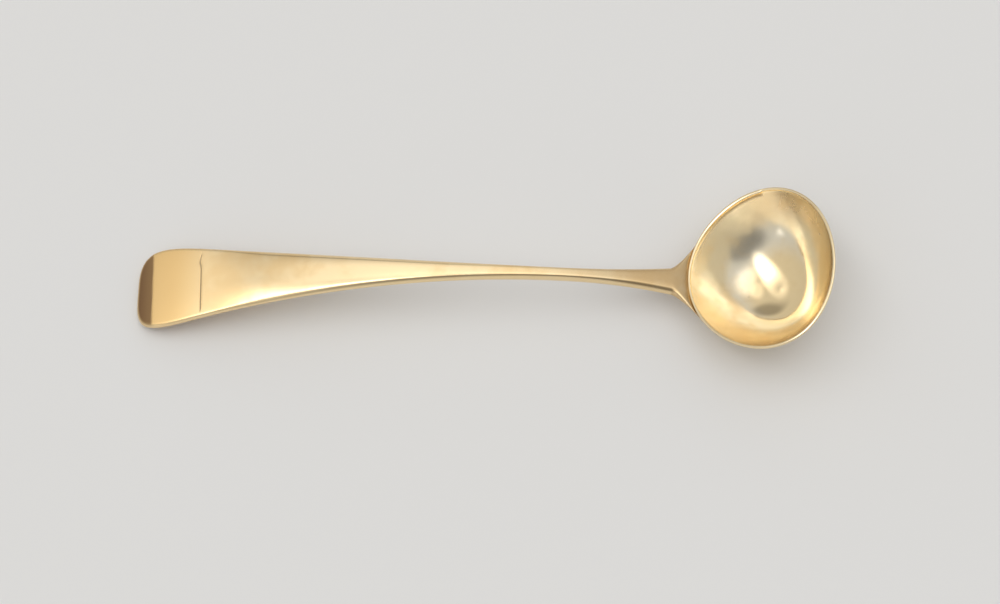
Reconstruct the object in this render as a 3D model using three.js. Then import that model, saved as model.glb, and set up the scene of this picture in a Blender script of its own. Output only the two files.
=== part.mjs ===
// Silver salt spoon: a raised round bowl, a forged arched stem and the solder that joins them.
// Millimetres and degrees. +X runs along the spoon to the bowl, +Y across it and +Z up.
// The spoon lies as it does on a table, on the bottom of its bowl and on the tip of its handle.
// The origin is on the table, below the middle of the spoon.

import * as THREE from 'three';

// Overall

const overallLength = 102.5;

// Bowl

const bowlLength = 22.7;
const bowlWidth = 25;
const bowlEgg = 0.1;
const bowlDepth = 9.5;
const bowlSweep = 50;
const bowlFullness = 1.3;
const bowlPitch = 27.3;
const bowlWall = 0.8;
const rimThickness = 0.5;
const wearFlatDepth = 0.12;

// Handle, seen from above

const terminalWidth = 14.6;
const terminalRounding = 11.5;
const terminalSquareness = 3.6;
const neckWidth = 1.9;
const handleTaper = 1.9;
const neckToBowl = 18.7;
const shoulderWidth = 4.1;

// Handle, seen from the side

const crownHeight = 8.7;
const crownToTip = 45.3;
const creaseToTip = 2.3;
const creaseDrop = 0.55;
const terminalThickness = 1.1;
const neckThickness = 1.8;
const shoulderThickness = 1.7;
const sectionSquareness = 6;

// Shoulders and heel, on the back of the bowl

const shoulderStart = 2.6;
const shoulderSpan = 14.6;
const shoulderEdge = 0.08;
const shoulderRise = 0.45;
const shoulderBelowRim = 0.25;
const heelLength = 6;
const heelWidth = 4.2;
const heelEdge = 0.3;
const flareFade = 4;
const tongueFade = 0.5;
const heelRoundness = 3;
const seatMiddle = 0.5;
const stemPull = 3.4;
const landingPull = 4.5;
const crestPull = 1.6;
const directionStep = 1;

// Solder between the stem and the bowl

const solderThickness = 0.2;
const solderClearance = 0.08;

// Fineness of the surfaces

const bowlSides = 60;
const bowlRings = 15;
const lipRings = 4;
const stemSides = 36;
const tipStations = 12;
const stemStations = 36;
const shoulderRings = 12;
const seatRings = 5;

// Silver finishes

const silver = new THREE.MeshStandardMaterial({ color: 0xe3cfa4, roughness: 0.28, metalness: 1 });
const gilt = new THREE.MeshStandardMaterial({ color: 0xe0c88e, roughness: 0.24, metalness: 1 });
const solder = new THREE.MeshStandardMaterial({ color: 0xb9a883, roughness: 0.4, metalness: 1 });

// A closed surface through rings of equal count, each end filled from its middle.
// The rings turn anticlockwise as seen from the last one.
function loft(rings) {
  const count = rings[0].length;
  const points = rings.flat();
  const faces = [];
  for (let ring = 0; ring + 1 < rings.length; ring += 1) {
    for (let side = 0; side < count; side += 1) {
      const here = ring * count + side;
      const next = ring * count + (side + 1) % count;
      faces.push(here, next, here + count);
      faces.push(next, next + count, here + count);
    }
  }
  const first = points.push(middleOf(rings[0])) - 1;
  const last = points.push(middleOf(rings.at(-1))) - 1;
  const lastStart = (rings.length - 1) * count;
  for (let side = 0; side < count; side += 1) {
    const next = (side + 1) % count;
    faces.push(first, next, side);
    faces.push(last, lastStart + side, lastStart + next);
  }
  const geometry = new THREE.BufferGeometry().setFromPoints(points);
  geometry.setIndex(faces);
  geometry.computeVertexNormals();
  return geometry;
}

function middleOf(ring) {
  const sum = new THREE.Vector3();
  for (const point of ring) {
    sum.add(point);
  }
  return sum.divideScalar(ring.length);
}

// A list made by calling a function with 0, 1, 2 and so on
function series(count, make) {
  return Array.from({ length: count }, (_, index) => make(index));
}

// Bowl surface before it is placed: the rim lies at height 0 and the bowl hangs below it.
// A round profile sweeps from the bottom (level 0) to the rim (level 1), over an egg outline
// that is drawn in toward the stem. Its rise is an arc's, raised to a power that flattens the
// bottom and steepens the wall. A positive growth stands outside the bowl by that much.

const sweep = THREE.MathUtils.degToRad(bowlSweep);
const pitch = THREE.MathUtils.degToRad(bowlPitch);

function profileSpread(level) {
  return Math.sin(level * sweep) / Math.sin(sweep);
}

function profileRise(level) {
  return ((1 - Math.cos(level * sweep)) / (1 - Math.cos(sweep))) ** bowlFullness;
}

function bowlPoint(level, turn, growth) {
  const spread = profileSpread(level);
  const egg = 1 + bowlEgg * Math.cos(turn);
  const x = (bowlLength / 2 + growth) * spread * Math.cos(turn);
  const y = (bowlWidth / 2 + growth) * spread * Math.sin(turn) * egg;
  return new THREE.Vector3(x, y, (bowlDepth + growth) * (profileRise(level) - 1));
}

function bowlRing(level, growth, lift = 0) {
  return series(bowlSides, (side) => {
    const point = bowlPoint(level, side / bowlSides * Math.PI * 2, growth);
    point.z += lift;
    return point;
  });
}

// The outside of the bowl from near its bottom up to the rim
function outerRings() {
  return series(bowlRings, (ring) => bowlRing((ring + 1) / bowlRings, 0));
}

// The rim's lip is a half round
function lip() {
  return series(lipRings - 1, (ring) => {
    const around = (ring + 1) / lipRings * Math.PI;
    const inward = rimThickness / 2 * (1 - Math.cos(around));
    return bowlRing(1, -inward, rimThickness / 2 * Math.sin(around));
  });
}

// The inside from the rim back down, where the wall thickens toward the bottom
function innerRings() {
  return series(bowlRings, (ring) => {
    const level = 1 - ring / bowlRings;
    return bowlRing(level, -THREE.MathUtils.lerp(bowlWall, rimThickness, level));
  });
}

// The bowl's place: pitched so that its far side is high, with its bottom on the table
// and its far side at the end of the spoon

function bowlPlace() {
  const turned = new THREE.Matrix4().makeRotationY(-pitch);
  const box = new THREE.Box3();
  for (const point of outerRings().flat()) {
    box.expandByPoint(point.applyMatrix4(turned));
  }
  return turned.setPosition(overallLength / 2 - box.max.x, 0, -box.min.z - wearFlatDepth);
}

const bowlMatrix = bowlPlace();

const rimNearStem = bowlPoint(1, Math.PI, 0).applyMatrix4(bowlMatrix);

// Seat: where the stem lands on the back of the bowl. A place on it is given by its distance
// across the spoon from the middle and its distance below the rim, both along the surface.
// Above the rim the seat carries straight on upward.

const meanRadius = (bowlLength + bowlWidth) / 4;

// The bowl's mean profile from the rim down to the bottom
class BackProfile extends THREE.Curve {
  getPoint(fromRim) {
    const level = 1 - fromRim;
    return new THREE.Vector2(meanRadius * profileSpread(level), bowlDepth * profileRise(level));
  }
}

const backProfile = new BackProfile();

function seatPoint(across, below, growth) {
  const level = 1 - backProfile.getUtoTmapping(Math.max(0, below) / backProfile.getLength());
  const turn = Math.PI - across / (meanRadius * profileSpread(level));
  const point = bowlPoint(level, turn, growth);
  point.z += Math.max(0, -below);
  return point.applyMatrix4(bowlMatrix);
}

// The outline of the seat, by an angle that starts at the left shoulder and passes over the
// top. The shoulders run along the rim, and the heel hangs below them as a rounded tongue.
// Both fade as powers of the angle's cosine, the shoulders' flare fast and the tongue late.
function seatOutline(angle) {
  const cosine = Math.abs(Math.cos(angle));
  const sine = Math.sin(angle);
  const flare = (shoulderSpan - heelWidth) / 2 * cosine ** flareFade;
  const tongue = heelWidth / 2 * cosine ** tongueFade;
  const across = Math.sign(Math.cos(angle)) * (flare + tongue);
  const reach = sine > 0
    ? -(shoulderBelowRim + shoulderRise) * sine ** 2
    : (heelLength - shoulderBelowRim) * Math.abs(sine) ** heelRoundness;
  return { across, below: shoulderBelowRim + reach };
}

// The angle of each point of a section or of the seat's outline
function stemAngle(side) {
  return side / stemSides * Math.PI * 2;
}

// The seat's outline drawn in toward its middle below the rim, where a share of 1 is full size.
// Its growth is a function of the angle.
function seatRing(share, growth, highest = -Infinity) {
  return series(stemSides, (side) => {
    const { across, below } = seatOutline(stemAngle(side));
    const reached = THREE.MathUtils.lerp(seatMiddle, Math.max(highest, below), share);
    return seatPoint(across * share, reached, growth(stemAngle(side)));
  });
}

const seatGap = solderThickness + 2 * solderClearance;

// How far the stem's edge stands off the bowl: thin at the ends of the shoulders, and thicker
// over the rim and at the heel
function edgeGrowth(angle) {
  return seatGap + THREE.MathUtils.lerp(shoulderEdge, heelEdge, Math.abs(Math.sin(angle)));
}

// Handle: where it runs and how wide and thick it is, by the distance x along the spoon

const tipX = -overallLength / 2;
const tipFacet = terminalRounding * (1 - Math.cos(Math.PI / 2 / tipStations));
const outlineX = tipX - tipFacet;
const crownX = tipX + crownToTip;
const neckX = rimNearStem.x - neckToBowl;
const shoulderX = rimNearStem.x - shoulderStart;

// The middle of the handle's thickness: one parabola from the crown toward the tip, where the
// end is turned down past a crease so that its underside lies on the table, and one from the
// crown down to the bowl's rim
function handleHeight(x) {
  const creaseZ = terminalThickness / 2 + creaseDrop;
  const joinZ = rimNearStem.z + shoulderRise - shoulderThickness / 2;
  if (x < crownX) {
    const turnedDown = creaseDrop * Math.max(0, 1 - (x - tipX) / creaseToTip);
    return crownHeight - (crownHeight - creaseZ) * ((crownX - x) / (crownX - tipX)) ** 2 - turnedDown;
  }
  return crownHeight - (crownHeight - joinZ) * ((x - crownX) / (rimNearStem.x - crownX)) ** 2;
}

// Half the width: it opens from the neck as a power curve to the terminal, which is rounded
// off by a superellipse, and as a parabola to the shoulders. A small facet cuts off the very
// end of the superellipse, so that the tip has a width.
function handleHalfWidth(x) {
  let width = neckWidth;
  if (x < neckX) {
    width += (terminalWidth - neckWidth) * ((neckX - x) / (neckX - tipX)) ** handleTaper;
  } else {
    width += (shoulderWidth - neckWidth) * ((x - neckX) / (shoulderX - neckX)) ** 2;
  }
  const fromEnd = x - outlineX;
  if (fromEnd < terminalRounding) {
    const inward = (1 - fromEnd / terminalRounding) ** terminalSquareness;
    width *= (1 - inward) ** (1 / terminalSquareness);
  }
  return width / 2;
}

function handleHalfThickness(x) {
  if (x < neckX) {
    return THREE.MathUtils.lerp(neckThickness, terminalThickness, (neckX - x) / (neckX - tipX)) / 2;
  }
  return THREE.MathUtils.lerp(neckThickness, shoulderThickness, (x - neckX) / (shoulderX - neckX)) / 2;
}

// The section that stands across the spoon at x: a superellipse, flat above and below
function handleSection(x) {
  const rounded = (value) => Math.sign(value) * Math.abs(value) ** (2 / sectionSquareness);
  return series(stemSides, (side) => {
    const y = handleHalfWidth(x) * rounded(Math.cos(stemAngle(side)));
    const z = handleHeight(x) + handleHalfThickness(x) * rounded(Math.sin(stemAngle(side)));
    return new THREE.Vector3(x, y, z);
  });
}

// Sections from the tip to the shoulders, close together where the tip is rounded
function handleRings() {
  const rings = [];
  for (let step = 1; step <= tipStations; step += 1) {
    const turn = step / tipStations * Math.PI / 2;
    rings.push(handleSection(outlineX + terminalRounding * (1 - Math.cos(turn))));
  }
  for (let step = 1; step <= stemStations; step += 1) {
    const x = THREE.MathUtils.lerp(outlineX + terminalRounding, shoulderX, step / stemStations);
    rings.push(handleSection(x));
  }
  return rings;
}

// Shoulders: each point of the last section runs on to the seat's edge along a curve that
// leaves in the stem's direction and lands flat on the bowl, spreading away from the middle.
// Over the top the curve turns up to the rim late and tightly.
function shoulderRingsTo(edge, inner) {
  const start = handleSection(shoulderX);
  const ahead = handleSection(shoulderX + directionStep);
  return series(shoulderRings, (ring) => {
    const t = (ring + 1) / shoulderRings;
    return start.map((from, side) => {
      const over = Math.max(0, Math.sin(stemAngle(side)));
      const pull = THREE.MathUtils.lerp(landingPull, crestPull, over);
      const leaving = ahead[side].clone().sub(from).setLength(stemPull);
      const landing = edge[side].clone().sub(inner[side]).setLength(pull);
      return new THREE.Vector3()
        .addScaledVector(from, 2 * t ** 3 - 3 * t ** 2 + 1)
        .addScaledVector(leaving, t ** 3 - 2 * t ** 2 + t)
        .addScaledVector(edge[side], 3 * t ** 2 - 2 * t ** 3)
        .addScaledVector(landing, t ** 3 - t ** 2);
    });
  });
}

// Pieces

function bowlGeometry() {
  const bowl = loft([...outerRings(), ...lip(), ...innerRings()]).applyMatrix4(bowlMatrix);
  const position = bowl.attributes.position;
  for (let index = 0; index < position.count; index += 1) {
    position.setZ(index, Math.max(0, position.getZ(index)));
  }
  return bowl;
}

function stemGeometry() {
  const edge = seatRing(1, edgeGrowth);
  const inner = seatRing(1 - 1 / seatRings, edgeGrowth);
  const seat = series(seatRings, (ring) => seatRing(1 - ring / seatRings, () => seatGap));
  return loft([...handleRings(), ...shoulderRingsTo(edge, inner), ...seat]);
}

function solderGeometry() {
  const face = (growth) => series(seatRings, (ring) => {
    return seatRing((ring + 1) / seatRings, () => growth, shoulderBelowRim);
  });
  const outer = face(solderClearance + solderThickness);
  const inner = face(solderClearance).reverse();
  return loft([...outer, ...inner]);
}

function named(name, geometry, material) {
  const mesh = new THREE.Mesh(geometry, material);
  mesh.name = name;
  return mesh;
}

const saltSpoon = new THREE.Group();
saltSpoon.add(named('bowl', bowlGeometry(), gilt));
saltSpoon.add(named('stem', stemGeometry(), silver));
saltSpoon.add(named('solder_seam', solderGeometry(), solder));

export default saltSpoon;
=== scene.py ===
"""Silver salt spoon: its fine surfaces, finishes, light and camera.

Sizes are millimetres and degrees unless a name says otherwise, and become metres when a mesh is
made. +X runs along the spoon to the bowl, +Y across it and +Z up. Each shape is a formula of two
parameters, worked out on whole arrays.
"""
import logging
from dataclasses import dataclass
from enum import Enum

import bpy
import numpy as np
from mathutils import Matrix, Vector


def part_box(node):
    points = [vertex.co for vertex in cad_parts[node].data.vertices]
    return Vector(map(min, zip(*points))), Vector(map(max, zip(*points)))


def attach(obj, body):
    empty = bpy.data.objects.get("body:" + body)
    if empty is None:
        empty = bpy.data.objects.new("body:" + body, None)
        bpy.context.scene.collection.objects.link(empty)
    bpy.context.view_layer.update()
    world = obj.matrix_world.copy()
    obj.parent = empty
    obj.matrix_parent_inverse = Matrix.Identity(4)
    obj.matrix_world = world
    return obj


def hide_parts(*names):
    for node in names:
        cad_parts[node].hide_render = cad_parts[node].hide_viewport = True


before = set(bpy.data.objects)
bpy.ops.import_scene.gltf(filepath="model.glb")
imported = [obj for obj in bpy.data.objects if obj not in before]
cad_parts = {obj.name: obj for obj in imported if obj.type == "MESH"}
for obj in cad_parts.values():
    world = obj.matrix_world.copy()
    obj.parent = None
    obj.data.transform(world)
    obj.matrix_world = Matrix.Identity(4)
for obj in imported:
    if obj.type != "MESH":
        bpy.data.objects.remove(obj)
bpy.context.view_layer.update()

Array = np.ndarray
Values = float | Array
Range = tuple[float, float]
Colour = tuple[float, float, float]
Direction = tuple[float, float, float]
Material = bpy.types.Material
Piece = bpy.types.Object
Node = bpy.types.Node
Socket = bpy.types.NodeSocket

MM = 0.001
TINY = 1e-6
BODY = "root"

log = logging.getLogger("salt_spoon")


class Mask(Enum):
    """The point attributes that the finishes read. Each runs from 0 to 1. The recess mask also
    carries painted shadow, and the mask for stains also carries painted shade.
    """

    EDGE = "edge_wear"
    # Dirty recesses, and painted shadow under the bowl's rolled lip.
    RECESS = "recess"
    RUBBED = "rubbed"
    # Stains, and painted shade: a patch high inside the bowl and a dark reflection on the stem's end.
    STAIN_AND_SHADE = "stain_and_shade"
    TARNISH = "tarnish"


class Slot(Enum):
    """The record's material slots."""

    SILVER = "silver"
    GILT = "gilt_silver"
    SOLDER = "silver_solder"


class Effect(Enum):
    """The shader node groups that every finish uses."""

    TARNISH = "tarnish_patches"
    PITS = "tiny_pits"


def smooth_step(low: float, high: float, value: Array) -> Array:
    """Rises from 0 at low to 1 at high with level ends.

    Args:
        low: the value where the step starts.
        high: the value where it ends.
        value: where to work it out.

    Returns:
        The step at each value.
    """
    share = np.clip((value - low) / (high - low), 0.0, 1.0)
    return share * share * (3.0 - 2.0 * share)


def hump(value: Array, middle: float, reach: float) -> Array:
    """A bell curve that is 1 at its middle and fades over its reach.

    Args:
        value: where to work it out.
        middle: the place of the top.
        reach: the distance at which it has fallen to about a third.

    Returns:
        The bell curve at each value.
    """
    return np.exp(-(((value - middle) / reach) ** 2))


def steps(count: int) -> Array:
    """Even steps that end at 1, the first of them one step above 0."""
    return (np.arange(count) + 1) / count


def of_length(vectors: Array | Direction, length: Values = 1.0) -> Array:
    """The vectors at another length."""
    vectors = np.asarray(vectors)
    return vectors / np.linalg.norm(vectors, axis=-1, keepdims=True) * length


def closed_surface(name: str, rings: Array, masks: dict[Mask, Values]) -> Piece:
    """Makes a closed smooth mesh through rings of points, with each end filled from its middle.

    Neighbouring rings are joined by quads, and the first and last ring by a fan of triangles.
    The rings turn anticlockwise as seen from the last one, so that faces point outwards.

    Args:
        name: the piece's name.
        rings: points in millimetres, by ring and by place on the ring.
        masks: point attributes by ring and place, or one value. One that isn't given is 0.

    Returns:
        The new object, at the origin and linked to the scene.
    """
    count, sides, _ = rings.shape
    points = np.concatenate([rings.reshape(-1, 3), rings[:1].mean(1), rings[-1:].mean(1)])
    ring, side = np.meshgrid(np.arange(count - 1), np.arange(sides), indexing="ij")
    here = ring * sides + side
    beside = ring * sides + (side + 1) % sides
    quads = np.stack([here, beside, beside + sides, here + sides], -1).reshape(-1, 4)
    around = np.arange(sides)
    after = (around + 1) % sides
    first = np.full(sides, count * sides)
    last_ring = (count - 1) * sides
    fans = np.concatenate([
        np.stack([first, after, around], -1),
        np.stack([first + 1, last_ring + around, last_ring + after], -1),
    ])
    mesh = bpy.data.meshes.new(name)
    mesh.from_pydata((points * MM).tolist(), [], quads.tolist() + fans.tolist())
    for mask in Mask:
        flat = np.broadcast_to(masks.get(mask, 0.0), (count, sides)).reshape(-1)
        whole = np.concatenate([flat, [flat[:sides].mean(), flat[-sides:].mean()]])
        attribute = mesh.attributes.new(mask.value, "FLOAT", "POINT")
        attribute.data.foreach_set("value", whole.astype(np.float32))
    mesh.shade_smooth()
    mesh.update()
    piece = bpy.data.objects.new(name, mesh)
    bpy.context.scene.collection.objects.link(piece)
    return piece


def dress_piece(piece: Piece, finish: Material, node: str) -> Piece:
    """Gives a piece its finish and its place in the object.

    Args:
        piece: the piece.
        finish: its material.
        node: the CAD node that it stands for.

    Returns:
        The same piece.
    """
    piece.data.materials.append(finish)
    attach(piece, BODY)
    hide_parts(node)
    return piece


@dataclass(frozen=True)
class Wave:
    """A shallow wave that hammering leaves: a sine round the bowl times a sine up its wall.

    Its height is a share of the bowl's planishing, its climbs are half waves from the bottom to
    the rim, and it fades in over a range of levels.
    """

    height: float
    turns: int
    turn_phase: float
    climbs: float
    climb_phase: float
    fade: Range

    def at(self, level: Array, turn: Array) -> Array:
        """The wave's height at each level and turn."""
        around = np.sin(self.turns * turn + self.turn_phase)
        up = np.sin(self.climbs * np.pi * level + self.climb_phase)
        return self.height * around * up * smooth_step(*self.fade, level)


@dataclass(frozen=True)
class BowlWear:
    """How strongly and where the bowl is worn, rubbed, grimy and stained.

    Places up the bowl are levels, from 0 at its bottom to 1 at its rim. The groove is the one
    under the thicker rim, and the joint is where the stem is soldered on. The groove's dark line
    is painted shadow under the rolled lip, and a brownish patch high inside, round from the step,
    is painted shade.
    under the thicker rim, and the joint is where the stem is soldered on.
    """

    edge_outside: float = 0.95
    edge_inside: float = 0.97
    rubbed_lip: float = 0.3
    rubbed_levels: Range = (0.3, 0.6)
    joint_grime: float = 0.3
    joint_levels: Range = (0.55, 0.95)
    joint_reach: float = 0.7
    # Painted shadow: how dark the line just under the rolled lip is painted.
    groove_shadow: float = 0.95
    groove_level: float = 0.976
    groove_reach: float = 0.009
    # Painted shade: how dark the brownish patch high inside the bowl is painted, and where.
    stain_and_shade: float = 0.34
    shade_levels: Range = (0.6, 0.85)
    shade_turn: float = 70.0
    shade_reach: float = 34.0


@dataclass
class Bowl:
    """The raised bowl: a round profile swept over an egg outline, pitched up from the stem.

    The thicker rim starts at a step. It thins from some degrees past the step to its end.
    """

    length: float = 22.7
    width: float = 25.0
    egg: float = 0.1
    depth: float = 9.5
    sweep_degrees: float = 50.0
    fullness: float = 1.3
    pitch_degrees: float = 27.3
    wall: float = 0.8
    rim: float = 0.42
    lip_fullness: float = 0.7
    wear_flat: float = 0.12
    step_turn: float = 86.0
    step_softness: float = 1.5
    step_width: float = 0.2
    band_thins: float = 15.0
    band_end: float = 172.0
    band_reach: float = 110.0
    planish: float = 0.022
    planish_outside: float = 0.4
    planish_level: float = 0.85
    waves: tuple[Wave, ...] = (
        Wave(1.0, 3, 0.8, 2.4, 0.0, (0.1, 0.7)),
        Wave(0.6, 5, -1.1, 3.6, 0.5, (0.1, 0.7)),
        Wave(0.5, 11, 2.3, 5.1, 0.0, (0.45, 0.75)),
        Wave(0.28, 23, 0.4, 9.3, 1.0, (0.45, 0.75)),
    )
    wear: BowlWear = BowlWear()
    sides: int = 360
    profile_rings: int = 90
    lip_rings: int = 12
    placing_levels: int = 200
    profile_samples: int = 2000

    def __post_init__(self) -> None:
        """Sets the bowl's place from the CAD bowl: its far side, and its bottom on the table."""
        self.sweep = np.radians(self.sweep_degrees)
        self.pitch = np.radians(self.pitch_degrees)
        self.mean_radius = (self.length + self.width) / 4
        self.shift = np.zeros(3)
        levels = np.linspace(0, 1, self.placing_levels)
        level, turn = np.meshgrid(levels, np.linspace(0, 2 * np.pi, self.sides))
        outside = self.point(level, turn, 0.0)
        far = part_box("bowl")[1].x / MM
        self.shift = np.array([far - outside[..., 0].max(), 0.0, -outside[..., 2].min() - self.wear_flat])
        self.near_rim = self.point(np.array(1.0), np.array(np.pi), 0.0)

    def spread(self, level: Array) -> Array:
        """How far out the profile is, as a share of the rim: the sine of the swept angle."""
        return np.sin(level * self.sweep) / np.sin(self.sweep)

    def rise(self, level: Array) -> Array:
        """How high the profile is, as a share of the depth: an arc's rise to a power."""
        return ((1 - np.cos(level * self.sweep)) / (1 - np.cos(self.sweep))) ** self.fullness

    def level_below(self, below: Array) -> Array:
        """The level at a distance below the rim, measured along the mean profile.

        Args:
            below: the distance along the surface, where less than nothing counts as the rim.

        Returns:
            The level at each distance.
        """
        level = np.linspace(1, 0, self.profile_samples)
        across = self.mean_radius * self.spread(level)
        up = self.depth * self.rise(level)
        run = np.concatenate([[0.0], np.cumsum(np.hypot(np.diff(across), np.diff(up)))])
        return np.interp(below, run, level)

    def point(self, level: Array, turn: Array, growth: Values, lift: Values = 0.0) -> Array:
        """Works out points of the bowl.

        The outline is an ellipse whose width grows with the cosine of the turn, so that it is
        drawn in at the stem. The profile is an arc with a flattened bottom and steeper wall.

        Args:
            level: from 0 at the bottom to 1 at the rim.
            turn: the direction round the bowl, pi at the stem.
            growth: how far outside the bowl's outer face the point is.
            lift: how far above its place along the bowl's own axis it is.

        Returns:
            Points in the spoon's frame.
        """
        spread = self.spread(level)
        x = (self.length / 2 + growth) * spread * np.cos(turn)
        y = (self.width / 2 + growth) * spread * np.sin(turn) * (1 + self.egg * np.cos(turn))
        z = (self.depth + growth) * (self.rise(level) - 1) + lift
        along = x * np.cos(self.pitch) - z * np.sin(self.pitch)
        up = x * np.sin(self.pitch) + z * np.cos(self.pitch)
        return np.stack(np.broadcast_arrays(along, y, up), -1) + self.shift

    def band(self, turn: Array) -> Array:
        """How much of the thicker rim is left: full at a step on the left side, less to the stem."""
        past_step = np.degrees(turn) - self.step_turn
        kept = smooth_step(-self.step_softness, self.step_softness, past_step)
        return kept * (1 - smooth_step(self.band_thins, self.band_end - self.step_turn, past_step))

    def planishing(self, level: Array, turn: Array) -> Array:
        """Shallow waves that hammering leaves: a sum of crossed sines that fades at the rim."""
        waves = sum(wave.at(level, turn) for wave in self.waves)
        return self.planish * waves * (1 - smooth_step(self.planish_level, 1, level))

    def masks(self, turn: Array, rise: Array, around: Array) -> dict[Mask, Values]:
        """Works out where the bowl is worn, rubbed and grimy, and where shade and shadow are painted on
        it.

        Args:
            turn: the direction of each place on a ring.
            rise: the level of each ring outside. The rings inside have the same, from the rim.
            around: the angle of each ring over the lip.

        Returns:
            Each mask by ring and place.
        """
        wear = self.wear
        fall = rise[::-1]
        wall = np.zeros((rise.size, turn.size))
        lip = np.zeros((around.size, turn.size))
        near_joint = hump(turn, np.pi, wear.joint_reach)
        near_shade = hump(np.degrees(turn), wear.shade_turn, wear.shade_reach)
        groove = self.band(turn) * hump(fall, wear.groove_level, wear.groove_reach)
        return {
            Mask.EDGE: np.concatenate([
                wall + smooth_step(wear.edge_outside, 1, rise),
                lip + 1,
                wall + smooth_step(wear.edge_inside, 1, fall),
            ]),
            Mask.RUBBED: np.concatenate([
                wall,
                lip + wear.rubbed_lip,
                wall + smooth_step(*wear.rubbed_levels, fall),
            ]),
            Mask.RECESS: np.concatenate([
                wear.joint_grime * smooth_step(*wear.joint_levels, rise) * near_joint,
                lip,
                # Painted shadow: a dark line just under the thicker rim's rolled lip.
                wear.groove_shadow * groove,
            ]),
            Mask.STAIN_AND_SHADE: np.concatenate([
                wall,
                lip,
                # Painted shade: a brownish patch high inside the bowl, round from the step.
                wear.stain_and_shade * near_shade * smooth_step(*wear.shade_levels, fall),
            ]),
        }

    def build(self) -> Piece:
        """Builds the closed shell: outside up to the rim, over the lip and down the inside.

        Returns:
            The bowl.
        """
        turn = np.linspace(0, 2 * np.pi, self.sides, endpoint=False)[None, :]
        rise = steps(self.profile_rings)[:, None]
        rim = self.rim + self.step_width * self.band(turn)
        outer = self.point(rise, turn, self.planish_outside * self.planishing(rise, turn))
        around = np.pi * steps(self.lip_rings)[:-1, None]
        lip_height = self.rim / 2 * np.sin(around) ** self.lip_fullness
        lip = self.point(np.array(1.0), turn, -rim / 2 * (1 - np.cos(around)), lip_height)
        fall = rise[::-1]
        wall = self.wall + (self.rim - self.wall) * fall + (rim - self.rim) * fall**self.band_reach
        inner = self.point(fall, turn, self.planishing(fall, turn) - wall)
        rings = np.concatenate([outer, lip, inner])
        rings[..., 2] = np.maximum(rings[..., 2], 0.0)
        return closed_surface("bowl_shell", rings, self.masks(turn, rise, around))

    def dress(self) -> Piece:
        """Builds the bowl with its finish and place."""
        return dress_piece(self.build(), BOWL_FINISH.build(), "bowl")


@dataclass(frozen=True)
class StemWear:
    """How strongly and where the stem is worn, yellowed, grimy and stained, and where a dark reflection
    is painted on its turned-down end.

    The reaches are distances: of the worn edge from the outline, of the end's painted dark
    reflection past the crease, of the neck's staining from the neck and of the yellowing from the
    tip. On the shoulders they are shares of the way from the stem to the seat.
    """

    edge_reach: Range = (0.05, 0.5)
    line_grime: float = 0.8
    seat_grime: float = 0.2
    seat_reach: Range = (0.88, 1.0)
    # Painted shade: the turned-down end is painted dark as a reflection of dark surroundings, darkest at
    # the tip.
    end_shade: float = 0.82
    end_reach: Range = (-0.04, 0.1)
    neck_stain: float = 0.3
    neck_reach: Range = (-10.0, 12.0)
    shoulder_stain: float = 0.08
    shoulder_reach: Range = (0.45, 0.85)
    yellowing: float = 0.85
    yellow_reach: Range = (5.0, 15.0)


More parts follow.
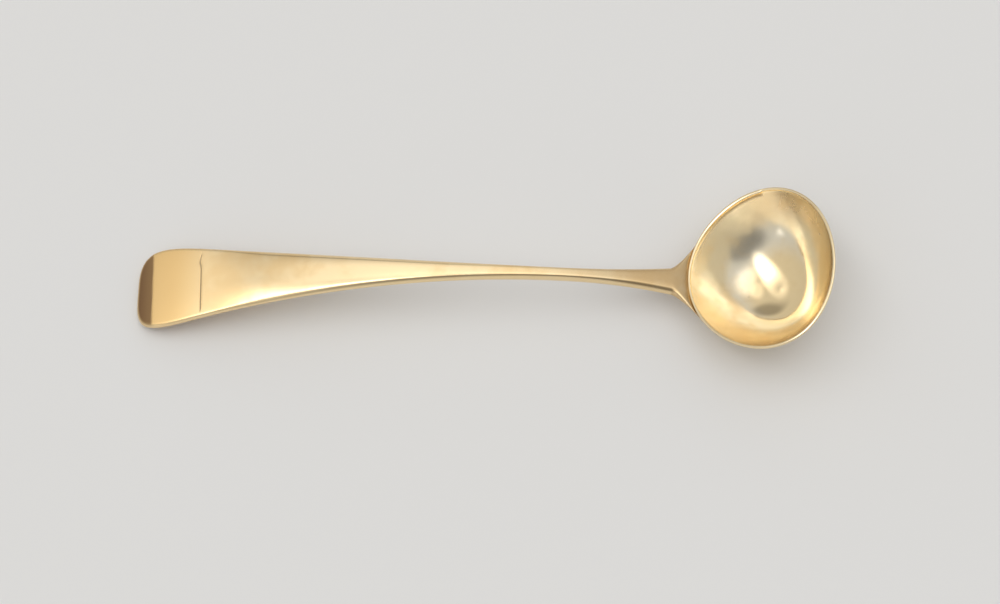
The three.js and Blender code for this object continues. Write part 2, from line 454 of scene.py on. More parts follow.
@dataclass
class Stem:
    """The forged stem: terminal, arched handle, shoulders and heel.

    The terminal is nearly flat up to one distance from the tip and fully crowned from another.
    The ends of the engraved line and the place and reach of its hook are shares of the half
    width. Its burr is a share of its depth, and the burr's place and reach are in line widths.
    """

    bowl: Bowl
    terminal_width: float = 14.6
    corner_length_left: float = 12.0
    corner_length_right: float = 9.8
    corner_squareness_left: float = 3.4
    corner_squareness_right: float = 3.8
    neck_width: float = 1.9
    taper: float = 1.9
    neck_to_bowl: float = 18.7
    shoulder_width: float = 4.1
    crown_height: float = 8.7
    crown_to_tip: float = 45.3
    terminal_thickness: float = 1.1
    neck_thickness: float = 1.8
    shoulder_thickness: float = 1.7
    crease_to_tip: float = 2.5
    crease_drop: float = 0.55
    crease_softness: float = 0.08
    skew: float = 0.034
    flat_reach: Range = (10.0, 21.0)
    crowning: float = 0.33
    crown_share: float = 0.12
    crown_middle: float = 0.4
    terminal_crown: float = 0.1
    left_crown: float = 0.6
    tip_round: float = 0.38
    edge_round: float = 0.8
    round_share: float = 0.55
    edge_squareness: float = 2.0
    line_to_tip: float = 10.0
    line_width: float = 0.065
    line_depth: float = 0.06
    line_right_end: Range = (-0.86, -0.76)
    line_left_end: Range = (0.74, 0.84)
    hook: float = 0.22
    hook_place: float = 0.6
    hook_reach: float = 0.12
    burr: float = 0.2
    burr_place: float = 2.6
    burr_reach: float = 1.3
    shoulder_start: float = 2.6
    shoulder_span: float = 14.6
    shoulder_edge: float = 0.1
    shoulder_below_rim: float = 0.25
    stem_above_rim: float = 0.45
    crest_rise: float = 0.19
    crest_inward: float = 0.06
    heel_length: float = 6.0
    heel_width: float = 4.2
    heel_edge: float = 0.42
    seat_middle: float = 0.5
    stem_pull: float = 3.4
    landing_pull: float = 4.5
    crest_pull: float = 2.0
    crest_roll: Direction = (0.8, 0.0, -0.6)
    look_ahead: float = 1.0
    landing_share: float = 0.8
    joint_gap: float = 0.03
    wear: StemWear = StemWear()
    half_sides: int = 72
    edge_sides: int = 14
    tip_rings: int = 72
    line_rings: int = 60
    line_rings_reach: Range = (-0.7, 0.5)
    handle_rings: int = 150
    shoulder_rings: int = 40
    seat_rings: int = 14
    outline_points: int = 1000
    outline_reach: float = 1.3
    outline_batches: int = 40

    def __post_init__(self) -> None:
        """Sets the stem's places from the CAD stem and the bowl's rim."""
        self.tip_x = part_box("stem")[0].x / MM
        self.crown_x = self.tip_x + self.crown_to_tip
        self.neck_x = self.bowl.near_rim[0] - self.neck_to_bowl
        self.shoulder_x = self.bowl.near_rim[0] - self.shoulder_start
        self.line_x = self.tip_x + self.line_to_tip

    def crease_reach(self, y: Array) -> Array:
        """The crease's distance from the tip, which is a little more on the right."""
        return self.crease_to_tip - self.skew * y

    def height(self, x: Array, y: Array) -> Array:
        """The middle of the thickness: a parabola from the crown each way, and a turned-down end.

        The end falls in a straight line past the crease, whose corner is softened by a hyperbola.

        Args:
            x: the distance along the spoon.
            y: the distance across it.

        Returns:
            The height.
        """
        crease_z = self.terminal_thickness / 2 + self.crease_drop
        reach = self.crease_reach(y)
        past = self.tip_x + reach - x
        soft = (past + np.sqrt(past**2 + self.crease_softness**2)) / 2
        join_z = self.bowl.near_rim[2] + self.stem_above_rim - self.shoulder_thickness / 2
        to_tip = (self.crown_height - crease_z) * ((self.crown_x - x) / (self.crown_x - self.tip_x)) ** 2
        to_tip = to_tip + self.crease_drop * soft / reach
        reach = self.bowl.near_rim[0] - self.crown_x
        to_bowl = (self.crown_height - join_z) * ((x - self.crown_x) / reach) ** 2
        return self.crown_height - np.where(x < self.crown_x, to_tip, to_bowl)

    def half_width(self, x: Array, left: Array) -> Array:
        """Half the width on one side: a power curve from the neck, rounded off at the tip.

        Args:
            x: the distance along the spoon.
            left: true on the +Y side.

        Returns:
            The distance from the middle to the edge.
        """
        toward_tip = np.maximum(0, (self.neck_x - x) / (self.neck_x - self.tip_x)) ** self.taper
        toward_bowl = np.maximum(0, (x - self.neck_x) / (self.shoulder_x - self.neck_x)) ** 2
        width = self.neck_width + (self.terminal_width - self.neck_width) * toward_tip
        width = width + (self.shoulder_width - self.neck_width) * toward_bowl
        length = np.where(left, self.corner_length_left, self.corner_length_right)
        square = np.where(left, self.corner_squareness_left, self.corner_squareness_right)
        inward = np.clip(1 - (x - self.tip_x) / length, 0, 1) ** square
        return width / 2 * (1 - inward) ** (1 / square)

    def half_thickness(self, x: Array) -> Array:
        """Half the thickness: straight from the neck to the tip and to the shoulders."""
        to_tip = (self.neck_x - x) / (self.neck_x - self.tip_x)
        to_bowl = (x - self.neck_x) / (self.shoulder_x - self.neck_x)
        tip_side = self.neck_thickness + (self.terminal_thickness - self.neck_thickness) * to_tip
        bowl_side = self.neck_thickness + (self.shoulder_thickness - self.neck_thickness) * to_bowl
        return np.where(x < self.neck_x, tip_side, bowl_side) / 2

    def section(self) -> tuple[Array, Array, Array]:
        """The template of a section, from the left edge over the top and back underneath.

        Returns:
            flat: the place across the flat part, from 1 at the left to -1 at the right.
            rounded: the place in the rounded edge, 1 or -1 at the very edge and 0 on the flat.
            face: 1 above and -1 below.
        """
        turn = np.linspace(0, np.pi / 2, self.edge_sides + 1)[:-1]
        edge = np.cos(turn) ** (2 / self.edge_squareness)
        across = np.linspace(1, -1, self.half_sides - 2 * self.edge_sides + 1)
        ends = np.ones(self.edge_sides)
        flat = np.concatenate([ends, across, -ends])
        rounded = np.concatenate([edge, 0 * across, -edge[::-1]])
        face = np.ones_like(flat)
        return (
            np.concatenate([flat, flat[-2:0:-1]]),
            np.concatenate([rounded, rounded[-2:0:-1]]),
            np.concatenate([face, -face[-2:0:-1]]),
        )

    def edge_distance(self, x: Array, y: Array) -> Array:
        """The distance in plan from each point to the handle's outline.

        Near the tip it is the least distance to a fine copy of the outline, whose points crowd
        toward the tip so that they are even across it, and elsewhere the distance straight across.

        Args:
            x: places along the spoon, by ring.
            y: places across it, by ring and place on the ring.

        Returns:
            The distance of each point.
        """
        straight = self.half_width(x, y > 0) - np.abs(y)
        near = x[:, 0] < self.tip_x + self.corner_length_left
        turn = np.linspace(0, np.pi / 2, self.outline_points)
        along = self.tip_x + self.outline_reach * self.corner_length_left * (1 - np.cos(turn)) ** 2
        outline = np.concatenate([
            np.stack([along, self.half_width(along, np.array(True))], -1),
            np.stack([along, -self.half_width(along, np.array(False))], -1),
        ])
        shape = y[near].shape
        points = np.stack([np.broadcast_to(x[near], shape), y[near]], -1).reshape(-1, 1, 2)
        parts = [
            np.sqrt(((part - outline) ** 2).sum(-1)).min(-1)
            for part in np.array_split(points, self.outline_batches)
        ]
        straight[near] = np.concatenate(parts).reshape(shape)
        return np.maximum(straight, 0)

    def engraving(self, x: Array, y: Array) -> Array:
        """The depth of the cut line across the terminal: a narrow bell with a hooked left end.

        Args:
            x: places along the spoon.
            y: places across it.

        Returns:
            The depth, which is less than nothing on the burr beside the cut.
        """
        share = y / self.half_width(np.array(self.line_x), np.array(True))
        hook = self.hook * hump(share, self.hook_place, self.hook_reach)
        away = (x - self.line_x + self.skew * y + hook) / self.line_width
        reach = smooth_step(*self.line_right_end, share) * (1 - smooth_step(*self.line_left_end, share))
        burr = self.burr * hump(away, self.burr_place, self.burr_reach)
        return self.line_depth * (hump(away, 0, 1) - burr) * reach

    def sections(self, x: Array) -> tuple[Array, Array, Array]:
        """Works out sections across the handle.

        Each edge is a quarter of a superellipse by the distance to the outline. The top is
        crowned by a cube of the distance from the middle, and falls less on the left. Both are
        less on the terminal.

        Args:
            x: the place of each section along the spoon.

        Returns:
            The points by ring and place, the distance to the outline and the engraving's depth.
        """
        x = x[:, None]
        flat, rounded, face = self.section()
        half = self.half_width(x, (flat > 0) | ((flat == 0) & (rounded > 0)))
        crowned = smooth_step(*self.flat_reach, x - self.tip_x)
        round_width = self.tip_round + (self.edge_round - self.tip_round) * crowned
        round_width = np.minimum(round_width, self.round_share * half)
        y = flat * (half - round_width) + rounded * round_width
        distance = self.edge_distance(x, y)
        inside = np.clip(distance / round_width, 0, 1)
        fullness = (1 - (1 - inside) ** self.edge_squareness) ** (1 / self.edge_squareness)
        crowning = np.minimum(self.crowning, self.crown_share * half)
        crowning = crowning * (self.terminal_crown + (1 - self.terminal_crown) * crowned)
        fall = np.where(y > 0, self.left_crown, 1.0) * np.abs(y / np.maximum(half, TINY)) ** 3
        crown = crowning * (self.crown_middle - fall)
        thickness = self.half_thickness(x)
        top = (thickness + crown) * fullness
        cut = self.engraving(x, y)
        z = self.height(x, y) + np.where(face > 0, top - cut, -thickness * fullness)
        points = np.stack(np.broadcast_arrays(x, y, z), -1)
        return points, np.broadcast_to(distance, y.shape), np.where(face > 0, cut, 0)

    def stations(self) -> Array:
        """Places of the sections: dense at the tip and at the engraved line."""
        turn = steps(self.tip_rings) * np.pi / 2
        tip = self.tip_x + self.corner_length_left * (1 - np.cos(turn))
        line = self.line_x + np.linspace(*self.line_rings_reach, self.line_rings)
        handle = np.linspace(tip[-1], self.shoulder_x, self.handle_rings + 1)[1:]
        return np.unique(np.concatenate([tip, line, handle]).round(4))

    def seat_outline(self, angle: Array) -> tuple[Array, Array]:
        """The outline of the seat on the bowl's back: shoulders along the rim and a heel.

        The flare fades as the fourth power of the angle's cosine and the heel's tongue as its
        root. The heel hangs down by the cube of the sine.

        Args:
            angle: from the left shoulder over the top.

        Returns:
            The distance across from the middle, and the distance below the rim.
        """
        cosine = np.cos(angle)
        sine = np.sin(angle)
        flare = (self.shoulder_span - self.heel_width) / 2 * cosine**4
        across = np.sign(cosine) * (flare + self.heel_width / 2 * np.sqrt(np.abs(cosine)))
        over = -(self.shoulder_below_rim + self.crest_rise) * sine**2
        under = (self.heel_length - self.shoulder_below_rim) * np.abs(sine) ** 3
        return across, self.shoulder_below_rim + np.where(sine > 0, over, under)

    def seat_ring(self, share: Values, growth: Values, highest: float = -np.inf) -> Array:
        """The seat's outline drawn in toward its middle.

        Args:
            share: 1 at full size and 0 at the middle.
            growth: the distance outside the bowl, as a column by ring or a row by place.
            highest: the least distance below the rim.

        Returns:
            Points by ring and place on the ring.
        """
        across, below = self.seat_outline(self.angles())
        share = np.reshape(share, (-1, 1))
        growth = np.atleast_2d(growth)
        reached = self.seat_middle + (np.maximum(highest, below) - self.seat_middle) * share
        bowl = self.bowl
        level = bowl.level_below(reached)
        turn = np.pi - across * share / (bowl.mean_radius * bowl.spread(level))
        lift = np.maximum(0, -reached)
        return bowl.point(level, turn, growth, lift)

    def angles(self) -> Array:
        """The angle of each point round the seat's outline."""
        return np.linspace(0, 2 * np.pi, 2 * self.half_sides, endpoint=False)

    def edge_growth(self) -> Array:
        """How far the edge stands off the bowl: thin at the shoulders' ends and thick at the heel.

        On top of the stem it reaches over the rim's lip instead.

        Returns:
            The distance by place on the ring.
        """
        sine = np.sin(self.angles())
        middle = np.where(sine > 0, -self.crest_inward, self.heel_edge)
        return self.joint_gap + self.shoulder_edge + (middle - self.shoulder_edge) * np.abs(sine)

    def shoulders(self) -> Array:
        """Rings from the last section to the seat's edge, along cubic curves.

        Each curve leaves along the stem and lands spreading over the bowl. Toward the top of
        the stem it lands rolling down on the rim's lip instead.

        Returns:
            Points by ring and place on the ring.
        """
        start, _, _ = self.sections(np.array([self.shoulder_x]))
        ahead, _, _ = self.sections(np.array([self.shoulder_x + self.look_ahead]))
        growth = self.edge_growth()
        edge = self.seat_ring(1.0, growth)
        inner = self.seat_ring(self.landing_share, growth)
        over = np.maximum(0, np.sin(self.angles()))[None, :, None]
        pull = self.landing_pull + (self.crest_pull - self.landing_pull) * over
        roll = np.array(self.crest_roll)
        leaving = of_length(ahead - start, self.stem_pull)
        landing = of_length(of_length(edge - inner) * (1 - over) + roll * over, pull)
        share = steps(self.shoulder_rings)[:, None, None]
        return (
            start * (2 * share**3 - 3 * share**2 + 1)
            + leaving * (share**3 - 2 * share**2 + share)
            + edge * (3 * share**2 - 2 * share**3)
            + landing * (share**3 - share**2)
        )

    def masks(self, handle: Array, distance: Array, cut: Array) -> dict[Mask, Values]:
        """Works out where the stem is worn, yellowed, grimy and stained, and where its end is painted
        dark as a reflection.

        Args:
            handle: the points of the handle's sections.
            distance: their distance to the outline.
            cut: the engraving's depth there.

        Returns:
            Each mask by ring and place, over the handle, the shoulders and the seat.
        """
        wear = self.wear
        along = handle[..., 0]
        past = self.tip_x + self.crease_reach(handle[..., 1]) - along
        # Painted dark reflection on the turned-down end, darkest at the tip.
        end = wear.end_shade + (1 - wear.end_shade) * smooth_step(0, self.crease_to_tip, past)
        end = end * smooth_step(*wear.end_reach, past)
        neck = wear.neck_stain * smooth_step(*wear.neck_reach, along - self.neck_x)
        yellow = wear.yellowing * (1 - smooth_step(*wear.yellow_reach, along - self.tip_x))
        line = wear.line_grime * np.clip(cut / self.line_depth, 0, 1)
        shoulders = np.zeros((self.shoulder_rings, handle.shape[1]))
        seat = np.zeros((self.seat_rings, handle.shape[1]))
        toward_seat = steps(self.shoulder_rings)[:, None]
        grime_and_shadow = shoulders + wear.seat_grime * smooth_step(*wear.seat_reach, toward_seat)
        dark = wear.neck_stain + wear.shoulder_stain * smooth_step(*wear.shoulder_reach, toward_seat)
        return {
            Mask.EDGE: np.concatenate([1 - smooth_step(*wear.edge_reach, distance), shoulders, seat]),
            Mask.RECESS: np.concatenate([line, grime_and_shadow, seat]),
            Mask.STAIN_AND_SHADE: np.concatenate([
                np.maximum(end, neck), shoulders + dark, seat + wear.neck_stain,
            ]),
            Mask.TARNISH: np.concatenate([yellow, shoulders, seat]),
        }

    def build(self) -> Piece:
        """Builds the stem from its tip to its seat on the bowl.

        Returns:
            The stem.
        """
        handle, distance, cut = self.sections(self.stations())
        seat = self.seat_ring(steps(self.seat_rings)[::-1], self.joint_gap, 0.0)
        rings = np.concatenate([handle, self.shoulders(), seat])
        rings[..., 2] = np.maximum(rings[..., 2], 0.0)
        return closed_surface("stem_forging", rings, self.masks(handle, distance, cut))

    def dress(self) -> Piece:
        """Builds the stem with its finish and place."""
        return dress_piece(self.build(), STEM_FINISH.build(), "stem")


@dataclass
class SolderSeam:
    """The hard solder that fills the joint between the stem's seat and the bowl."""

    stem: Stem
    bulge: float = 0.018
    outer_growth: float = 0.1
    inner_growth: float = -0.05
    grime_and_shadow: float = 0.2
    stain_and_shade: float = 0.35
    rings: int = 10

    def build(self) -> Piece:
        """Builds the solder: a skin under the seat with a half round bead at its edge.

        Returns:
            The seam.
        """
        stem = self.stem
        shares = steps(self.rings)
        outer = stem.seat_ring(shares, self.outer_growth, 0.0)
        around = (np.arange(self.rings) + 0.5) / self.rings * np.pi
        middle = (self.outer_growth + self.inner_growth) / 2
        half = (self.outer_growth - self.inner_growth) / 2
        growth = (middle + half * np.cos(around))[:, None]
        bead = stem.seat_ring(1 + self.bulge * np.sin(around), growth, 0.0)
        inner = stem.seat_ring(shares[::-1], self.inner_growth, 0.0)
        rings = np.concatenate([outer, bead, inner])
        return closed_surface("solder_bead", rings, {Mask.RECESS: self.grime_and_shadow, Mask.STAIN_AND_SHADE: self.stain_and_shade})

    def dress(self) -> Piece:
        """Builds the seam with its finish and place."""
        return dress_piece(self.build(), SOLDER_FINISH.build(), "solder_seam")


class Nodes:
    """A short way to write a node tree.

    The Mix node's sockets go by number, because those for numbers, vectors and colours share
    their names.
    """

    MIX_SHARE = 0
    MIX_FIRST = 6
    MIX_SECOND = 7
    MIX_RESULT = 2

    def __init__(self, tree: bpy.types.NodeTree) -> None:
        """Starts on an empty tree."""
        self.tree = tree
        tree.nodes.clear()

    def add(self, kind: str, inputs: dict | None = None, **settings: object) -> Node:
        """Adds a node.

        Args:
            kind: the node's type.
            inputs: a value or a socket to link for each named or numbered input.
            settings: the node's own settings.

        Returns:
            The node.
        """
        node = self.tree.nodes.new(kind)
        for key, value in settings.items():
            setattr(node, key, value)
        for key, value in (inputs or {}).items():
            if isinstance(value, Socket):
                self.tree.links.new(value, node.inputs[key])
            else:
                node.inputs[key].default_value = value
        return node

    def math(self, operation: str, first: Socket | float, second: Socket | float = 0.0) -> Socket:
        """The result of a math node on two values or sockets."""
        return self.add("ShaderNodeMath", {0: first, 1: second}, operation=operation).outputs[0]

    def span(self, value: Socket, low: float, high: float, start: float, end: float) -> Socket:
        """A value mapped smoothly from one range to another.

        Args:
            value: the socket to map.
            low: the value that gives the start.
            high: the value that gives the end.
            start: the result at low.
            end: the result at high.

        Returns:
            The mapped socket.
        """
        inputs = {"Value": value, "From Min": low, "From Max": high, "To Min": start, "To Max": end}
        return self.add("ShaderNodeMapRange", inputs, interpolation_type="SMOOTHSTEP").outputs[0]

    def mix(self, share: Socket, first: Socket | Colour, second: Colour) -> Socket:
        """A mix of two colours."""
        first = first if isinstance(first, Socket) else (*first, 1.0)
        inputs = {self.MIX_SHARE: share, self.MIX_FIRST: first, self.MIX_SECOND: (*second, 1.0)}
        return self.add("ShaderNodeMix", inputs, data_type="RGBA").outputs[self.MIX_RESULT]


@dataclass(frozen=True)
class TarnishPatches:
    """The group for tarnish: broad soft patches broken by a finer noise."""

    detail: float = 5.0
    roughness: float = 0.6
    fine_scale: float = 600.0
    fine_detail: float = 1.0
    fine_share: float = 0.16
    edge: Range = (0.5, 0.75)

    def mask(self, nodes: Nodes, place: Socket, scale: Socket) -> Socket:
        """The sum of two noises, cut off softly."""
        broad = nodes.add("ShaderNodeTexNoise", {
            "Vector": place, "Scale": scale, "Detail": self.detail, "Roughness": self.roughness,
        }).outputs[0]
        fine = nodes.add("ShaderNodeTexNoise", {
            "Vector": place, "Scale": self.fine_scale, "Detail": self.fine_detail,
        }).outputs[0]
        shape = nodes.math("ADD", broad, nodes.math("MULTIPLY", fine, self.fine_share))
        return nodes.span(shape, *self.edge, 0.0, 1.0)


@dataclass(frozen=True)
class TinyPits:
    """The group for tiny pits: the middles of some of the cells of a Voronoi pattern."""

    edge: Range = (0.03, 0.09)
    draw: Range = (0.7, 0.9)

    def mask(self, nodes: Nodes, place: Socket, scale: Socket) -> Socket:
        """A small spot in the middle of each cell that its random colour chooses."""
        cells = nodes.add("ShaderNodeTexVoronoi", {"Vector": place, "Scale": scale})
        spot = nodes.span(cells.outputs["Distance"], *self.edge, 1.0, 0.0)
        draw = nodes.add("ShaderNodeSeparateColor", {0: cells.outputs["Color"]}).outputs[0]
        return nodes.math("MULTIPLY", spot, nodes.span(draw, *self.draw, 0.0, 1.0))


def make_group(effect: Effect, pattern: TarnishPatches | TinyPits) -> None:
    """Makes a shader node group with inputs Place, Scale and Cover and the output Mask.

    Args:
        effect: the effect, which gives the group its name.
        pattern: what works out the mask before its cover.
    """
    tree = bpy.data.node_groups.new(effect.value, "ShaderNodeTree")
    tree.interface.new_socket("Place", in_out="INPUT", socket_type="NodeSocketVector")
    for name in ("Scale", "Cover"):
        tree.interface.new_socket(name, in_out="INPUT", socket_type="NodeSocketFloat")
    tree.interface.new_socket("Mask", in_out="OUTPUT", socket_type="NodeSocketFloat")
    nodes = Nodes(tree)
    given = nodes.add("NodeGroupInput").outputs
    mask = pattern.mask(nodes, given["Place"], given["Scale"])
    nodes.add("NodeGroupOutput", {"Mask": nodes.math("MULTIPLY", mask, given["Cover"])})


@dataclass(frozen=True)
class SilverFinish:
    """Old silver: clean metal, tarnish, dirty recesses and painted shadow, stains and painted shade, tiny
    pits and worn edges.

    Worn edges lose a share of their tarnish, stains and painted shade. Tarnish, stains, painted
    shade and rubbing each take a share of the polish, and dirty recesses and painted shadow take
    all of it. The bump's depth is in millimetres.
    """

    name: str
    clean: Colour
    tarnished: Colour
    rubbed: Colour
    # The dark colour of dirty recesses, also used to paint shadow.
    grime_and_shadow: Colour
    # The colour of stains, also used to paint shade and dark reflections.
    stain_and_shade: Colour
    polish: float
    dullness: float
    tarnish_scale: float
    tarnish_cover: float
    pit_scale: float
    pit_cover: float
    bump: float
    bump_depth: float = 0.02
    edge_cleaned: float = 0.8
    grime_and_shadow_cover: float = 0.85
    tarnish_dulls: float = 0.4
    rubbing_dulls: float = 0.45
    ripple_scale: float = 380.0
    ripple_detail: float = 3.0
    ripple_height: float = 0.8

    def build(self) -> Material:
        """Builds the material.

        Returns:
            The material, whose pattern lies in Object coordinates.
        """
        material = bpy.data.materials.new(self.name)
        material.use_nodes = True
        nodes = Nodes(material.node_tree)
        place = nodes.add("ShaderNodeTexCoord").outputs["Object"]
        masks = {
            mask: nodes.add("ShaderNodeAttribute", attribute_name=mask.value).outputs["Fac"]
            for mask in Mask
        }
        tarnish = self.effect(nodes, Effect.TARNISH, place, self.tarnish_scale, self.tarnish_cover)
        pits = self.effect(nodes, Effect.PITS, place, self.pit_scale, self.pit_cover)
        cleaned = nodes.math("MULTIPLY", masks[Mask.EDGE], self.edge_cleaned)
        unworn = nodes.math("SUBTRACT", 1.0, cleaned)
        cloudy = nodes.math("MULTIPLY", nodes.math("MAXIMUM", tarnish, masks[Mask.TARNISH]), unworn)
        # Stains and painted shade, less on worn edges.
        brown = nodes.math("MULTIPLY", masks[Mask.STAIN_AND_SHADE], unworn)
        # Dirty recesses and painted shadow, with the pits.
        dirt_and_shadow = nodes.math("MAXIMUM", masks[Mask.RECESS], pits)
        colour = nodes.mix(masks[Mask.RUBBED], self.clean, self.rubbed)
        colour = nodes.mix(cloudy, colour, self.tarnished)
        colour = nodes.mix(brown, colour, self.stain_and_shade)
        colour = nodes.mix(nodes.math("MULTIPLY", dirt_and_shadow, self.grime_and_shadow_cover), colour, self.grime_and_shadow)
        dull = nodes.math("MULTIPLY", nodes.math("ADD", cloudy, brown), self.tarnish_dulls)
        dull = nodes.math("ADD", dull, dirt_and_shadow)
        dull = nodes.math("ADD", dull, nodes.math("MULTIPLY", masks[Mask.RUBBED], self.rubbing_dulls))
        ripple = nodes.add("ShaderNodeTexNoise", {
            "Vector": place, "Scale": self.ripple_scale, "Detail": self.ripple_detail,
        })
        height = nodes.math("MULTIPLY", ripple.outputs[0], self.ripple_height)
        bump = nodes.add("ShaderNodeBump", {
            "Height": nodes.math("SUBTRACT", height, pits),
            "Strength": self.bump,
            "Distance": self.bump_depth * MM,
        })
        surface = nodes.add("ShaderNodeBsdfPrincipled", {
            "Base Color": colour,
            "Metallic": 1.0,
            "Roughness": nodes.span(dull, 0.0, 1.0, self.polish, self.dullness),
            "Normal": bump.outputs[0],
        })
        nodes.add("ShaderNodeOutputMaterial", {"Surface": surface.outputs[0]})
        return material

    @staticmethod
    def effect(nodes: Nodes, effect: Effect, place: Socket, scale: float, cover: float) -> Socket:
        """The mask of a shared effect at this finish's own scale and cover."""
        inputs = {"Place": place, "Scale": scale, "Cover": cover}
        tree = bpy.data.node_groups[effect.value]
        return nodes.add("ShaderNodeGroup", inputs, node_tree=tree).outputs["Mask"]


STEM_FINISH = SilverFinish(
    name="old_silver",
    clean=(0.95, 0.745, 0.44),
    tarnished=(0.8, 0.52, 0.21),
    rubbed=(0.95, 0.86, 0.66),
    grime_and_shadow=(0.16, 0.1, 0.05),
    # Stains, and the painted dark reflection on the turned-down end.
    stain_and_shade=(0.25, 0.14, 0.068),
    polish=0.18,
    dullness=0.42,
    tarnish_scale=70.0,
    tarnish_cover=0.5,
    pit_scale=420.0,
    pit_cover=0.8,
    bump=0.1,
)
BOWL_FINISH = SilverFinish(
    name="worn_gilt_silver",
    clean=(0.95, 0.745, 0.43),
    tarnished=(0.86, 0.62, 0.3),
    rubbed=(0.91, 0.82, 0.635),
    # A grimy joint, and the painted shadow under the rolled lip.
    grime_and_shadow=(0.16, 0.1, 0.05),
    # Painted shade only: the brownish patch high inside the bowl.
    stain_and_shade=(0.29, 0.165, 0.075),
    polish=0.1,
    dullness=0.34,
    tarnish_scale=110.0,
    tarnish_cover=0.5,
    pit_scale=520.0,
    pit_cover=0.7,
    bump=0.1,
)
SOLDER_FINISH = SilverFinish(
    name="hard_solder",
    clean=(0.72, 0.56, 0.35),
    tarnished=(0.45, 0.32, 0.17),
    rubbed=(0.8, 0.66, 0.45),
    grime_and_shadow=(0.2, 0.13, 0.07),
    stain_and_shade=(0.44, 0.3, 0.16),
    polish=0.32,
    dullness=0.55,
    tarnish_scale=240.0,
    tarnish_cover=0.8,
    pit_scale=900.0,
    pit_cover=0.6,
    bump=0.5,
)


@dataclass(frozen=True)
class SkyPatch:
    """A soft oval part of the surroundings that is brighter or darker than the rest.

    Its half sizes are angles in degrees from its middle to where half of its change is left. A
    change of less than nothing makes it darker.
    """

    toward: Direction
    along: Direction
    half_length: float
    half_width: float
    softness: float
    change: float

    def light(self, nodes: Nodes, direction: Socket) -> Socket:
        """The light that the patch adds in each direction: a smooth step over an oval's radius.

        Args:
            nodes: the node tree.
            direction: the socket with the direction looked in.

        Returns:
            The light, 0 away from the patch.
        """
        middle = of_length(self.toward)
        along = of_length(self.along - np.dot(self.along, middle) * middle)
        across = np.cross(middle, along)
        radius = 0.0
        for axis, half in ((along, self.half_length), (across, self.half_width)):
            axis = axis / np.sin(np.radians(half))
            share = self.dot(nodes, direction, axis)
            radius = nodes.math("ADD", radius, nodes.math("MULTIPLY", share, share))
        radius = nodes.math("SQRT", radius)
        inside = nodes.span(radius, 1 - self.softness, 1 + self.softness, self.change, 0.0)
        facing = nodes.math("GREATER_THAN", self.dot(nodes, direction, middle), 0.0)
        return nodes.math("MULTIPLY", inside, facing)

    @staticmethod
    def dot(nodes: Nodes, direction: Socket, axis: Array) -> Socket:
        """The dot product of the direction and a fixed axis."""
        inputs = {0: direction, 1: tuple(axis)}
        return nodes.add("ShaderNodeVectorMath", inputs, operation="DOT_PRODUCT").outputs["Value"]


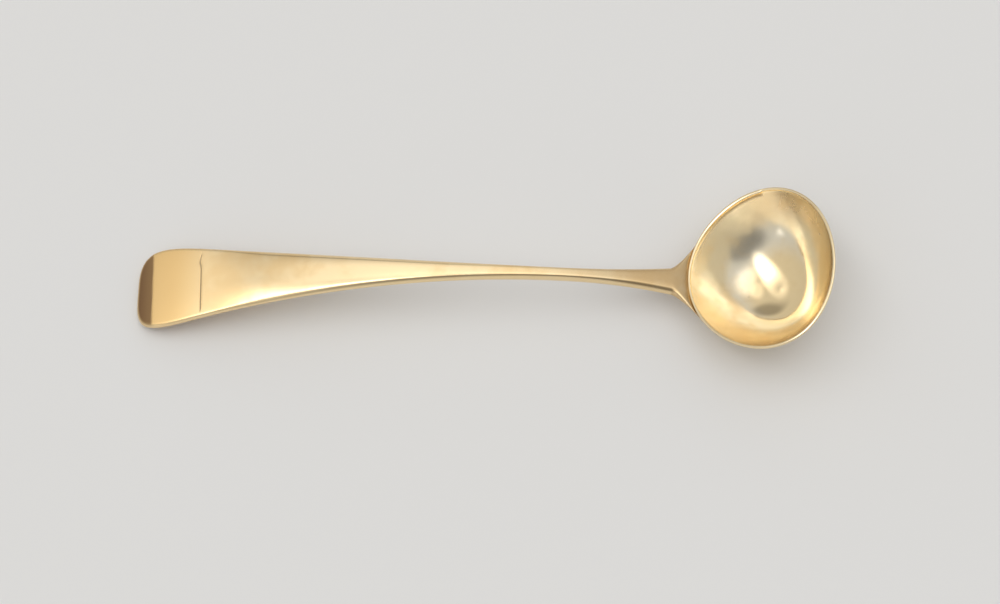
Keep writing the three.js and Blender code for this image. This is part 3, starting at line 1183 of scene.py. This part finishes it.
@dataclass
class Studio:
    """A pale table, soft surroundings and the camera.

    The patches of the surroundings are, in order: a bright strip up to the left, a broad glow
    overhead, a fainter one high beyond the spoon, a small one low in front to the left, a dark
    one in front to the right and a dark one beyond the spoon to the left.
    """

    camera_tilt: float = 22.0
    camera_distance: float = 290.0
    lens: float = 69.6
    sensor: float = 36.0
    clipping: Range = (10.0, 50000.0)
    aim: Direction = (3.03, -1.3179, 0.0)
    table_size: float = 24000.0
    table_colour: Colour = (0.8, 0.79, 0.77)
    table_roughness: float = 0.9
    table_gloss: float = 0.2
    sky_low: float = 0.62
    sky_high: float = 0.7
    patches: tuple[SkyPatch, ...] = (
        SkyPatch((-0.375, -0.13, 0.92), (-0.63, 0.88, -0.17), 31.0, 9.0, 0.35, 2.2),
        SkyPatch((0.14, 0.08, 0.98), (1.0, 0.0, 0.0), 20.0, 20.0, 0.45, 0.7),
        SkyPatch((-0.24, 0.36, 0.9), (1.0, 0.0, 0.0), 12.0, 9.0, 0.5, 0.45),
        SkyPatch((-0.57, -0.78, 0.25), (1.0, 0.0, 0.0), 6.0, 4.0, 0.5, 0.8),
        SkyPatch((0.3, -0.75, 0.6), (1.0, 0.2, 0.0), 30.0, 22.0, 0.4, -0.42),
        SkyPatch((-0.33, 0.72, 0.61), (1.0, 0.3, 0.0), 20.0, 9.0, 0.4, -0.33),
    )

    def camera(self) -> None:
        """Makes the camera at the photograph's tilt and distance, aimed at the table."""
        tilt = np.radians(self.camera_tilt)
        data = bpy.data.cameras.new("camera")
        data.lens = self.lens
        data.sensor_width = self.sensor
        data.clip_start = self.clipping[0] * MM
        data.clip_end = self.clipping[1] * MM
        camera = bpy.data.objects.new("camera", data)
        away = self.camera_distance * np.array([0, -np.sin(tilt), np.cos(tilt)])
        camera.location = (np.array(self.aim) + away) * MM
        camera.rotation_euler = (tilt, 0, 0)
        bpy.context.scene.collection.objects.link(camera)
        bpy.context.scene.camera = camera

    def table(self) -> None:
        """Makes the table's top, a pale matt plane at height 0."""
        half = self.table_size / 2 * MM
        mesh = bpy.data.meshes.new("table_top")
        corners = [(-half, -half, 0), (half, -half, 0), (half, half, 0), (-half, half, 0)]
        mesh.from_pydata(corners, [], [(0, 1, 2, 3)])
        table = bpy.data.objects.new("table_top", mesh)
        bpy.context.scene.collection.objects.link(table)
        material = bpy.data.materials.new("pale_table")
        material.use_nodes = True
        surface = material.node_tree.nodes["Principled BSDF"]
        surface.inputs["Base Color"].default_value = (*self.table_colour, 1.0)
        surface.inputs["Roughness"].default_value = self.table_roughness
        surface.inputs["Specular IOR Level"].default_value = self.table_gloss
        mesh.materials.append(material)

    def sky(self) -> None:
        """Makes the surroundings: even and soft, with brighter and darker patches."""
        world = bpy.data.worlds.new("soft_surroundings")
        world.use_nodes = True
        nodes = Nodes(world.node_tree)
        direction = nodes.add("ShaderNodeTexCoord").outputs["Generated"]
        upward = nodes.add("ShaderNodeSeparateXYZ", {0: direction}).outputs["Z"]
        strength = nodes.span(upward, 0.0, 1.0, self.sky_low, self.sky_high)
        for patch in self.patches:
            strength = nodes.math("ADD", strength, patch.light(nodes, direction))
        background = nodes.add("ShaderNodeBackground", {"Color": (1, 1, 1, 1), "Strength": strength})
        nodes.add("ShaderNodeOutputWorld", {"Surface": background.outputs[0]})
        bpy.context.scene.world = world

    def build(self) -> None:
        """Makes everything round the spoon."""
        self.camera()
        self.table()
        self.sky()
        bpy.context.scene.view_settings.view_transform = "Standard"


def main() -> None:
    """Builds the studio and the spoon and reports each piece."""
    logging.basicConfig(level=logging.INFO, format="%(name)s: %(message)s")
    Studio().build()
    make_group(Effect.TARNISH, TarnishPatches())
    make_group(Effect.PITS, TinyPits())
    bowl = Bowl()
    stem = Stem(bowl)
    seam = SolderSeam(stem)
    for piece in (bowl.dress(), stem.dress(), seam.dress()):
        log.info("%s, %d faces", piece.name, len(piece.data.polygons))


if __name__ == "__main__":
    main()
